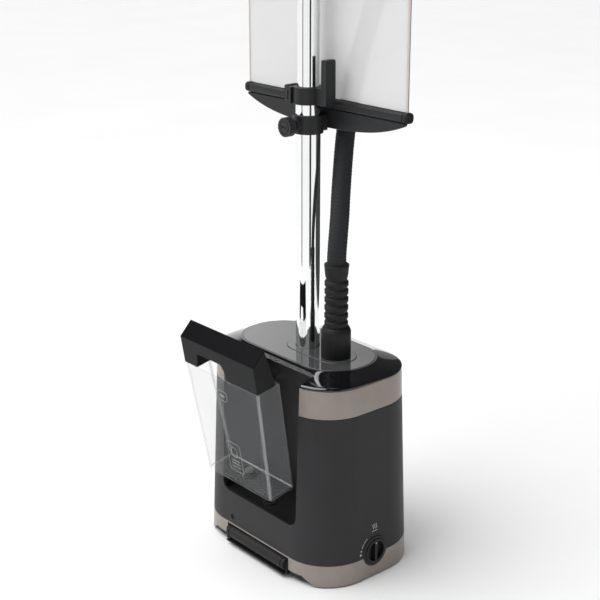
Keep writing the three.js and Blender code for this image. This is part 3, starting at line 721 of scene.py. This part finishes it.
post_outline = [(28, LOCK_Z[0]), (38, LOCK_Z[0]), (37.4, 668.4), (36.2, 670), (29.8, 670), (28.6, 668.4)]
collar = cut(
    join(
        rod("z", *LOCK_Z, (0, 0), 19.5),
        block(12, 30, -4, 1, *LOCK_Z),
        prism(post_outline, "y", -4, 12),
        block(-22, -10, -20.5, -14, *LOCK_Z),
    ),
    rod("z", LOCK_Z[0] - 1, 628 + GAP, (0, 0), 16.3),
    rod("z", 600, 700, (0, 0), 14.1),
    rod("z", 600, 700, (-19, -17.3), 1.9, 24),
    block(-24, -14.4, -22, -12.5, LOCK_Z[0] + 5, LOCK_Z[1] - 5),
    block(-27, -19.9, -22, 7, 600, 700),
)
piece("lock_ring", collar, "grey_plastic", "base", ["lock_collar"], bevel=0.7)
lever = join(
    rod("z", LOCK_Z[0] - 0.5, LOCK_Z[1] + 1.5, (-19, -17.3), 1.8, 24),
    block(-23.5, -16.2, -17.6, -14, LOCK_Z[0] + 5.4, LOCK_Z[1] - 5.4),
    prism(rounded(-17.6, 6, LOCK_Z[0] + 1, LOCK_Z[1] + 1, 3), "x", -25.5, -20.4),
)
piece("lock_flap", lever, "grey_plastic", "lever", ["lock_lever"], bevel=0.5)

clamp = cut(
    join(
        rod("z", *CLAMP_Z, (0, 0), 19.5),
        rod("y", -25, -10, (0, THUMB_Z), 9, 48),
        block(-13, 13, 12, 21.2, CLAMP_Z[0] + 2, CLAMP_Z[1] - 1),
    ),
    rod("z", 500, 700, (0, 0), 16.3),
    rod("y", -30, -10, (0, THUMB_Z), 4.2, 32),
)
piece("clamp_ring", clamp, "grey_plastic", "base", ["clamp_collar"], bevel=0.8)
knurl = []
for k in range(144):
    a = 2 * math.pi * k / 144
    radius = 12.3 - 0.55 * (0.5 + 0.5 * math.cos(18 * a)) ** 2
    knurl.append((radius * math.cos(a), THUMB_Z + radius * math.sin(a)))
screw = join(
    prism(knurl, "y", -39.5, -29.5),
    rod("y", -30, -25.6, (0, THUMB_Z), 7.5, 40),
    rod("y", -29, -16.8, (0, THUMB_Z), 4, 32),
)
screw = cut(screw, turned([(8.4, -40), (8.4, -38.6), (7.4, -38.6), (7.4, -40)], "y", (0, THUMB_Z), 48))
screw = cut(screw, block(-5, 5, -40, -38.3, THUMB_Z - 1, THUMB_Z + 1))
piece("thumb_grip", screw, "grey_plastic", "thumbscrew", ["thumbscrew"], bevel=0.4, limit=45)

# ---------- screen ----------

rail_outline = rounded(20, 33, 605.5, 618, 4.5, 8)
rail = cut(prism(rail_outline, "x", -145, 145), block(-160, 160, SCREEN_Y - 1.4, SCREEN_Y + 1.4, 612, 640))
piece("rail_bar", rail, "grey_plastic", "base", ["screen_rail"], bevel=0.4)
for name, inner, outer in (("left", -145.3, -153), ("right", 145.3, 153)):
    cap = prism(rounded(19.5, 33.5, 605.5, 618.5, 5, 8), "x", min(inner, outer), max(inner, outer))
    piece(f"rail_cap_{name}", cap, "black_plastic", "base", [f"rail_end_{name}"], bevel=1.4, segments=3)
bow = [(-149, 605.2), (-149, 602.5)]
bow += bezier(bow[-1], (-110, 585), (-60, 580.5), (0, 580.5), 20)
bow += bezier(bow[-1], (60, 580.5), (110, 585), (149, 602.5), 20)
bow.append((149, 605.2))
piece(
    "rail_bow", prism(bow, "y", 21.5, 27), "grey_plastic", "base", ["screen_wing"], bevel=1.1, segments=3,
    limit=50,
)

CLOTH_HALF = 150


def cloth(x0, x1, y, thick, z0, z1, columns, rows):
    """A thin closed cloth panel with a slight billow."""
    def point(i, k, side):
        x = x0 + (x1 - x0) * i / columns
        z = z0 + (z1 - z0) * k / rows
        span = math.sin(math.pi * k / rows)
        wave = 0.35 * math.sin(x * 0.021 + z * 0.004) * span + 0.15 * math.sin(z * 0.031 + x * 0.012) * span
        return (x, y + wave + side * thick / 2, z)
    loops = []
    for k in range(rows + 1):
        front = [point(i, k, -1) for i in range(columns + 1)]
        loops.append(front + [point(i, k, 1) for i in range(columns, -1, -1)])
    return loft(loops)


screen = piece(
    "screen_cloth", cloth(-CLOTH_HALF, CLOTH_HALF, SCREEN_Y, 0.9, *SCREEN_Z, 40, 80), "screen_fabric", "base",
    ["screen_fabric"], sharp=60,
)
shorten(screen)
for name, x in (("left", -CLOTH_HALF + 1.2), ("right", CLOTH_HALF - 2)):
    width = 2.4 if name == "left" else 4
    strip = cloth(x - width / 2, x + width / 2, SCREEN_Y, 1.5, *SCREEN_Z, 2, 80)
    binding = piece(f"screen_binding_{name}", strip, "binding", "base", sharp=60)
    shorten(binding)

# ---------- head ----------

case = cut(
    prism(circle(CASSETTE_Y, CASSETTE_Z, 17, 72), "x", -160, 160),
    rod("x", -200, 200, (CASSETTE_Y, CASSETTE_Z), 15),
    block(-153, 153, SCREEN_Y - 2.2, SCREEN_Y + 2.2, 1450, 1470),
)
piece("cassette_case", case, "grey_plastic", "head", ["screen_cassette"], bevel=0.4)
for name, side in (("left", -1), ("right", 1)):
    a, b = side * 160.3, side * 166
    cap_profile = [
        (0, a - side * 9), (5, a - side * 9), (5, a), (17, a), (17, b - side * 1.6), (15.6, b - side * 0.3),
        (13.5, b), (0, b),
    ]
    cap = turned(cap_profile, "x", (CASSETTE_Y, CASSETTE_Z), 64)
    piece(f"cassette_cap_{name}", cap, "black_plastic", "head", [f"cassette_end_{name}"])

bracket = cut(
    join(
        turned([(0, 1440), (18.4, 1440), (19, 1440.8), (19, 1494.6), (17.6, 1496), (0, 1496)], "z", (0, 0)),
        block(-16, 16, 0, CASSETTE_Y - 8, 1466, 1510),
        block(-16, 16, -10, HANGER_Y, 1497, 1511),
        rod("z", 1497, 1511, (0, HANGER_Y), 16),
    ),
    rod("z", 1400, 1486.3, (0, 0), 14.3),
    rod("x", -30, 30, (CASSETTE_Y, CASSETTE_Z), 17.3),
    rod("z", 1490, 1520, (0, HANGER_Y), 5.1, 40),
)
piece("head_yoke", bracket, "black_plastic", "head", ["head_bracket"], bevel=1.2, segments=3)
hub = turned(
    [
        (0, 1490), (4.8, 1490), (4.8, 1511.4), (14.2, 1511.4), (15, 1512.2), (15, 1540), (14.2, 1543),
        (11, 1547), (0, 1547),
    ],
    "z", (0, HANGER_Y),
)
hub = cut(hub, block(-40, 40, HANGER_Y - 4.4, HANGER_Y + 4.4, 1520, 1560))
piece("hanger_pivot", hub, "black_plastic", "head", ["hanger_hub"], bevel=0.6)

for name, side in (("left", -1), ("right", 1)):
    arm = [(side * 6.5, 1520.5), (side * 6.5, 1535.5), (side * 16, 1535.5)]
    arm += bezier(arm[-1], (side * 70, 1534), (side * 140, 1508), (side * 205, 1486), 16)
    arm += [(side * 207, 1478), (side * 197, 1474)]
    arm += bezier(arm[-1], (side * 130, 1496), (side * 70, 1518), (side * 16, 1520.5), 16)
    pad_x = side * 201
    pad = turned(
        [(0, 51), (5.2, 51), (6.2, 51.5), (6.5, 52.6), (6.5, 71.4), (6.2, 72.5), (5.2, 73), (0, 73)],
        "y", (pad_x, 1480.5), 40,
    )
    pin = rod("y", 50.5, 73.5, (side * 9, HANGER_Z), 2, 24)
    arm_body = join(prism(arm, "y", HANGER_Y - 4, HANGER_Y + 4), pad, pin)
    piece(
        f"arm_{name}", arm_body, "black_plastic", f"arm_{name}", [f"hanger_arm_{name}"], bevel=1.0, limit=50,
    )
    x, y, z = side * CLIP_X, HANGER_Y, CLIP_PIN_Z
    clip = cut(
        join(
            block(x - 11, x + 11, y - 7.5, y + 7.5, z + 4, z + 45),
            block(x - 11, x + 11, y - 6, y - 2.6, z - 30, z + 6),
        ),
        block(x - 20, x + 20, y - 4.6, y + 4.6, z + 8, z + 41),
        block(x - 20, x + 20, y - 2.6, y + 10, z - 40, z + 6),
    )
    piece(f"clip_{name}", clip, "black_plastic", f"clip_{name}", [f"clip_body_{name}"], bevel=0.7)
    jaw = join(
        rod("x", x - 10.5, x + 10.5, (y + 3, z), 2.6, 28),
        block(x - 10.5, x + 10.5, y + 1.2, y + 4.4, z - 16, z + 2),
        block(x - 10.5, x + 10.5, y - 2, y + 1.4, z - 30, z - 14),
    )
    piece(f"clip_lip_{name}", jaw, "black_plastic", f"jaw_{name}", [f"clip_jaw_{name}"], bevel=0.5)

# ---------- handset ----------

hx, hy, tail = HANDSET_X, HANDSET_Y, HANDSET_TAIL
hook = cut(
    join(
        rod("x", hx - 12, hx + 12, (CASSETTE_Y, CASSETTE_Z), 20.5),
        block(hx - 12, hx + 12, CASSETTE_Y + 5, hy + 8, 1455, 1461),
    ),
    rod("x", hx - 20, hx + 20, (CASSETTE_Y, CASSETTE_Z), 17.3),
    block(hx - 20, hx + 20, CASSETTE_Y - 40, CASSETTE_Y - 6, 1440, 1500),
    block(hx - 20, hx + 20, CASSETTE_Y - 40, CASSETTE_Y + 5, 1440, 1470),
    rod("z", 1440, 1480, (hx, hy), 8.6, 40),
    block(hx - 8.6, hx + 8.6, hy, hy + 30, 1440, 1480),
)
piece("hook", hook, "black_plastic", "head", ["handset_hook"], bevel=0.7)

head_outline = [(hx - 12, 1461.3), (hx + 12, 1461.3)]
head_outline += bezier(head_outline[-1], (hx + 40, 1468), (hx + 46, 1480), (hx + 44, 1500))
head_outline += bezier(head_outline[-1], (hx + 40, 1540), (hx + 16, 1566), (hx, 1570))
head_outline += bezier(head_outline[-1], (hx - 16, 1566), (hx - 40, 1540), (hx - 44, 1500))
head_outline += bezier(head_outline[-1], (hx - 46, 1480), (hx - 40, 1468), (hx - 12, 1461.3))[:-1]
grip_profile = [
    (0, tail), (12.4, tail), (13.2, tail + 1), (14.6, tail + 10), (15.5, tail + 22), (16.3, tail + 50),
    (16.5, tail + 80), (16.2, tail + 108), (15.4, tail + 130), (13.6, tail + 141), (11, tail + 148),
    (8.2, tail + 152), (8.2, 1466), (0, 1466),
]
handset = cut(
    join(turned(grip_profile, "z", (hx, hy), 56), prism(head_outline, "y", hy - 15, hy + 13)),
    block(hx - 6.3, hx + 6.3, hy - 20, hy - 9, tail + 92, tail + 120),
)
piece("handset_shell", handset, "black_plastic", "head", ["handset_body"], bevel=2.0, segments=4, limit=50)
plate = cut(
    prism(head_outline, "y", hy + 13 + GAP, hy + 18),
    *[rod("y", hy, hy + 40, (hx + dx, 1502 + 12 * math.cos(dx / 15)), 2.2, 20) for dx in (-24, -8, 8, 24)],
)
piece("handset_plate", plate, "steel", "head", ["steam_plate"], bevel=0.6, limit=50)
trigger = prism(rounded(hx - 6, hx + 6, tail + 92.4, tail + 119.6, 3), "y", hy - 18.5, hy - 12.6)
piece("trigger_button", trigger, "grey_plastic", "trigger", ["steam_trigger"], bevel=0.8)
sleeve = [(7, tail - 36), (12.2, tail - 36), (12.6, tail - 35.4)]
for k in range(5):
    z = tail - 33 + k * 6
    sleeve += [
        (12.7 + 0.3 * k, z), (12.7 + 0.3 * k, z + 3.4), (12.0 + 0.3 * k, z + 4),
        (12.0 + 0.3 * k, z + 5.4),
    ]
sleeve += [(14.5, tail - 2.5), (14.5, tail - GAP), (7, tail - GAP)]
piece("handset_sleeve", turned(sleeve, "z", (hx, hy), 48), "rubber", "head", ["handset_boot"])

# ---------- hose connector and ribbed boot ----------

connector = [
    (7, 281.4), (16.2, 281.4), (16.2, 289.9), (19.1, 289.9), (19.5, 290.3), (19.5, 324.6),
    (19.3, 325.8), (18.7, 327), (17.4, 330), (16.6, 330.8), (7, 331),
]
hose_collar = turned(connector, "z", (HOSE_X, 0))
piece("hose_collar", hose_collar, "black_plastic", "base", ["hose_connector"], sharp=45)
RIB_SHAPE = (
    (15.0, 0), (15.5, 0.06), (15.5, 0.52), (15.0, 0.6), (13.7, 0.66), (13.5, 0.7), (13.5, 0.9), (13.7, 0.95),
)
boot = [(7, 331.3), (15.2, 331.3), (15.5, 331.7)]
BOOT_RIBS = 6
boot_pitch = (415 - 19 - 331) / BOOT_RIBS
for k in range(BOOT_RIBS):
    z = 332 + k * boot_pitch
    for dr, dz in RIB_SHAPE:
        boot.append((dr, z + dz * boot_pitch))
boot += [
    (14.6, 398.5), (15.2, 404), (15.8, 411), (16.2, 412.6), (16.2, 414.2), (15.6, 415), (12.9, 415),
    (7, 414.6),
]
piece("ribbed_boot", turned(boot, "z", (HOSE_X, 0)), "rubber", "base", ["hose_boot"], sharp=50)

# ---------- water tank, shaped docked, then turned out about the path's centre ----------

TANK = {"z0": 81.5, "z1": 241.6, "mid": 3.5, "half0": 66, "half1": 75.2, "back0": -50, "back1": -47.8}
TILT = (
    Matrix.Translation(TANK_PIVOT * MM)
    @ Matrix.Rotation(math.radians(TANK_TILT), 4, "X")
    @ Matrix.Translation(-TANK_PIVOT * MM)
)


def front_y(z):
    return -(HALF_Y + (LID_Z - z) * DRAFT) + 0.4


def tank_loop(z, inset, r=4.2):
    t = (z - TANK["z0"]) / (TANK["z1"] - TANK["z0"])
    half = TANK["half0"] + t * (TANK["half1"] - TANK["half0"]) - inset
    back = TANK["back0"] + t * (TANK["back1"] - TANK["back0"]) - inset
    outline = rounded(TANK["mid"] - half, TANK["mid"] + half, front_y(z) + inset, back, max(1, r - inset), 8)
    return [(x, y, z) for x, y in outline]


def tilted(obj):
    obj.data.transform(TILT)
    return obj


z0, z1 = TANK["z0"], TANK["z1"]
outer_wall = [(z0, 1.6), (z0 + 0.5, 0.5), (z0 + 1.6, 0), (z1 - 0.4, 0), (z1, 0.4)]
inner_wall = [(z1, 1.7), (z1 - 0.4, 2), (z0 + 4, 2), (z0 + 2.8, 2.5), (z0 + 2.4, 3.6)]
tank_loops = [tank_loop(z, inset) for z, inset in outer_wall + inner_wall]
tank = cut(loft(tank_loops), rod("z", 70, 90, VALVE, 8.3, 40))
tank = piece("tank_body", tilted(tank), "clear_tank", "tank", ["tank_shell"], sharp=35)
# Faces not square to the tank, its rounded corners, take the lighter copy as a painted highlight.
tank.data.materials.append(looks["tank_corner_highlight"])
upright = TILT.to_3x3().inverted()
for polygon in tank.data.polygons:
    if max(abs(c) for c in upright @ polygon.normal) < 0.97:
        polygon.material_index = 1


def on_tank_front(outline):
    """An outline in X and Z as a thin printed patch on the tank's sloping front wall."""
    return loft([[(x, front_y(z) + depth, z) for x, z in outline] for depth in (-0.12, 0.4)])


def frame_mark(x0, x1, z0, z1, r, line):
    """A printed rounded frame: a patch with its middle cut out."""
    outer = on_tank_front(rounded(x0, x1, z0, z1, r, 5))
    inner = prism(rounded(x0 + line, x1 - line, z0 + line, z1 - line, r - line, 5), "y", -110, -60)
    return cut(outer, inner)


tank_marks = [
    frame_mark(-9, 11, 208, 223, 4.5, 0.8), on_tank_front(rounded(-4, 6, 213.8, 217.2, 1.6, 5)),
    frame_mark(-8, 20, 103, 147, 2.5, 0.7), frame_mark(0, 12, 124, 140, 5.5, 1),
]
tank_marks += [on_tank_front(rounded(-3, 15, z, z + 1.4, 0.6, 3)) for z in (109, 114, 119)]
piece("tank_marks", tilted(join(*tank_marks)), "tank_print", "tank")

handle_outline = [(front_y(242), 242), (-55, 242), (-58.6, 267), (-62.9, 295), (front_y(280), 280)]
handle = cut(
    prism(handle_outline, "x", -72.3, 79.3),
    prism([(-45, 240), (22, 240), (9, 262.5), (-40, 262.5)], "y", -110, -40),
    block(32, 73, -81, -59.5, 240, 262),
    block(-66, -51, -81, -59.5, 240, 262),
)
handle = piece("tank_grip", tilted(handle), "handle_body", "tank", ["tank_handle"], bevel=1.2, segments=3)
handle.data.materials.append(looks["handle_top"])
for polygon in handle.data.polygons:
    if polygon.normal.z > 0.35:
        polygon.material_index = 1
valve = turned(
    [(3.1, 82), (8, 82), (8, 84.3), (10.5, 84.3), (10.5, 86.4), (6.4, 92), (3.1, 92)], "z", VALVE, 48,
)
piece("valve_body", tilted(valve), "black_plastic", "tank", ["tank_valve"])
stem = turned(
    [
        (0, 82.4), (2.6, 82.4), (3.04, 82.9), (3.04, 92.3), (5.8, 92.3), (5.8, 94.6), (5.2, 95.4),
        (3.04, 95.4), (3.04, 96), (0, 96),
    ],
    "z", VALVE, 40,
)
piece("valve_stem", tilted(stem), "silicone", "plunger", ["valve_plunger"])

# ---------- stage ----------

floor_mesh = bpy.data.meshes.new("floor")
FLOOR_HALF = 12
FLOOR_DROP = 0.0002
floor_corners = [(x * FLOOR_HALF, y * FLOOR_HALF, 0) for x, y in ((-1, -1), (1, -1), (1, 1), (-1, 1))]
floor_mesh.from_pydata(floor_corners, [], [(0, 1, 2, 3)])
floor = bpy.data.objects.new("floor", floor_mesh)
floor.location.z = -FLOOR_DROP
scene.collection.objects.link(floor)
pale = Nodes("pale_floor")
floor_tone = pale.mix(pale.ramp(pale.noise(3), 0, 1), (0.86, 0.86, 0.86), (0.88, 0.88, 0.88))
pale.link(floor_tone, pale.shader.inputs["Base Color"])
pale.set(Roughness=0.7)
floor_mesh.materials.append(pale.material)


def area_light(name, location, target, size, power, colour=(1, 1, 1)):
    data = bpy.data.lights.new(name, "AREA")
    data.shape = "RECTANGLE"
    data.size, data.size_y = size
    data.energy = power
    data.color = colour
    light = bpy.data.objects.new(name, data)
    light.location = location
    light.rotation_euler = (Vector(target) - Vector(location)).to_track_quat("-Z", "Y").to_euler()
    light.visible_glossy = False
    scene.collection.objects.link(light)


def sun_light(name, towards, power, angle):
    """A wide sun shining along a direction."""
    data = bpy.data.lights.new(name, "SUN")
    data.energy = power
    data.angle = math.radians(angle)
    light = bpy.data.objects.new(name, data)
    light.rotation_euler = Vector(towards).to_track_quat("-Z", "Y").to_euler()
    scene.collection.objects.link(light)


sun_light("studio_key", (0.34, 0.46, -0.9), 2.85, 60)
area_light("top", (0.2, 0.2, 3.4), (0, 0, 0), (2.6, 2.6), 22)

# Tall dark cards around the set, seen only in reflections, give the plated pole its bands.
CARD_RADIUS, CARD_HEIGHT = 1.3, 2.2
dark_card = Nodes("dark_card")
card_tone = dark_card.mix(dark_card.noise(2), (0.03, 0.03, 0.03), (0.04, 0.04, 0.04))
dark_card.link(card_tone, dark_card.shader.inputs["Base Color"])
dark_card.set(Roughness=0.9)
for name, first, last in (("left", -103, -94), ("middle", -29, -12), ("right", 36, 118)):
    bearings = [math.radians(a) for a in (first, last)]
    ends = [(CARD_RADIUS * math.cos(a), CARD_RADIUS * math.sin(a)) for a in bearings]
    mesh = bpy.data.meshes.new(f"card_{name}")
    mesh.from_pydata([(x, y, z) for z in (0, CARD_HEIGHT) for x, y in ends], [], [(0, 1, 3, 2)])
    mesh.materials.append(dark_card.material)
    card = bpy.data.objects.new(f"card_{name}", mesh)
    card.visible_camera = card.visible_diffuse = card.visible_shadow = card.visible_transmission = False
    scene.collection.objects.link(card)

# The room: white to the camera, even and dim for soft light, and a ring of panels and dark gaps for
# reflections.
DIM_LIGHT = 0.37
PANELS = (
    (0.0, 0.4), (0.2, 0.4), (0.565, 0.5), (0.6, 0.25), (0.868, 0.3), (0.895, 1.0), (0.93, 1.0), (0.96, 0.4),
)
world = bpy.data.worlds.new("world")
world.use_nodes = True
sky = world.node_tree
sky.nodes.remove(sky.nodes["Background"])


def sky_node(kind, **settings):
    node = sky.nodes.new(kind)
    for key, value in settings.items():
        setattr(node, key, value)
    return node


def sky_background(strength):
    node = sky_node("ShaderNodeBackground")
    node.inputs["Color"].default_value = (1, 1, 1, 1)
    node.inputs["Strength"].default_value = strength
    return node


direction = sky_node("ShaderNodeTexCoord")
parts = sky_node("ShaderNodeSeparateXYZ")
bearing = sky_node("ShaderNodeMath", operation="ARCTAN2")
share = sky_node("ShaderNodeMapRange")
share.inputs["From Min"].default_value = -math.pi
share.inputs["From Max"].default_value = math.pi
ring_of_panels = sky_node("ShaderNodeValToRGB")
stops = ring_of_panels.color_ramp.elements
for k, (place, level) in enumerate(PANELS):
    stop = stops[k] if k < 2 else stops.new(place)
    stop.position = place
    stop.color = (level, level, level, 1)
sky.links.new(direction.outputs["Generated"], parts.inputs[0])
sky.links.new(parts.outputs["Y"], bearing.inputs[0])
sky.links.new(parts.outputs["X"], bearing.inputs[1])
sky.links.new(bearing.outputs[0], share.inputs["Value"])
sky.links.new(share.outputs[0], ring_of_panels.inputs[0])
overhead = sky_node("ShaderNodeMapRange")
for socket, value in (("From Min", 0.38), ("From Max", 0.5), ("To Min", 1.0), ("To Max", 0.05)):
    overhead.inputs[socket].default_value = value
sky.links.new(parts.outputs["Z"], overhead.inputs["Value"])
dim, white, panels = sky_background(DIM_LIGHT), sky_background(1.0), sky_background(1.0)
sky.links.new(ring_of_panels.outputs[0], panels.inputs["Color"])
sky.links.new(overhead.outputs[0], panels.inputs["Strength"])
path = sky_node("ShaderNodeLightPath")
reflected, seen = sky_node("ShaderNodeMixShader"), sky_node("ShaderNodeMixShader")
sky.links.new(path.outputs["Is Glossy Ray"], reflected.inputs[0])
sky.links.new(dim.outputs[0], reflected.inputs[1])
sky.links.new(panels.outputs[0], reflected.inputs[2])
sky.links.new(path.outputs["Is Camera Ray"], seen.inputs[0])
sky.links.new(reflected.outputs[0], seen.inputs[1])
sky.links.new(white.outputs[0], seen.inputs[2])
sky.links.new(seen.outputs[0], sky.nodes["World Output"].inputs["Surface"])
scene.world = world
